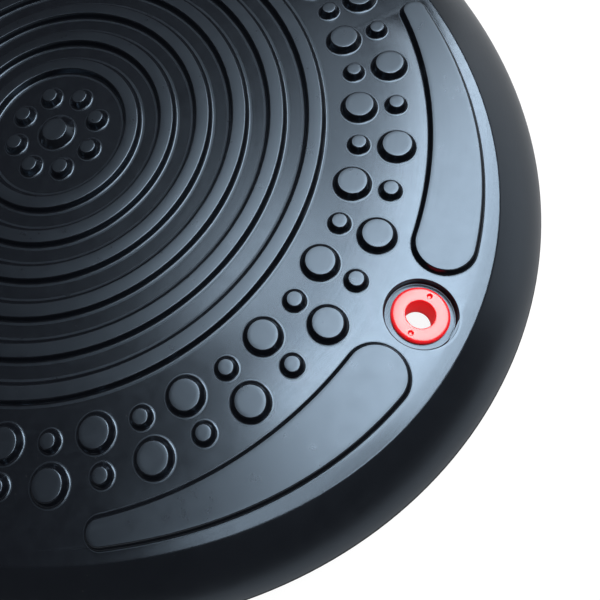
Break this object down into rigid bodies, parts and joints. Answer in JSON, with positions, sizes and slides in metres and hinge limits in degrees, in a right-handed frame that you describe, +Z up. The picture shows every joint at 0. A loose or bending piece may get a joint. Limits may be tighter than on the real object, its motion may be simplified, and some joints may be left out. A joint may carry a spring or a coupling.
{
  "type": "wobble cushion",
  "caption": "Air-filled rubber balance cushion with a three-lobed outline, concentric ridges, massage studs, crescent pads and red through eyelets.",
  "frame": {"origin": "centre of the cushion on the floor it stands on", "axes": "+Z up out of the patterned face; the first eyelet faces -Y and the inflation valve faces +Y"},
  "size_m": [0.3524, 0.3511, 0.041],
  "materials": {
    "skin": "satin moulded rubber, blue-black",
    "seal": "matt black rubber",
    "eyelet": "semi-gloss red plastic"
  },
  "bodies": {
    "cushion": {"top_skin": "skin", "bottom_skin": "skin", "eyelet_cup_1": "skin", "eyelet_cup_2": "skin", "eyelet_cup_3": "skin", "rim_seam": "seal", "eyelet_bush_1": "eyelet", "eyelet_bush_2": "eyelet", "eyelet_bush_3": "eyelet", "eyelet_seal_1": "seal", "eyelet_seal_2": "seal", "eyelet_seal_3": "seal", "eyelet_nut_1": "eyelet", "eyelet_nut_2": "eyelet", "eyelet_nut_3": "eyelet", "valve_body": "seal"},
    "plug": {"valve_plug": "eyelet"}
  },
  "joints": [
    {"name": "plug_pull", "type": "slide", "parent": "cushion", "child": "plug", "axis": [0, 1, 0], "range_m": [0, 0.02]}
  ]
}
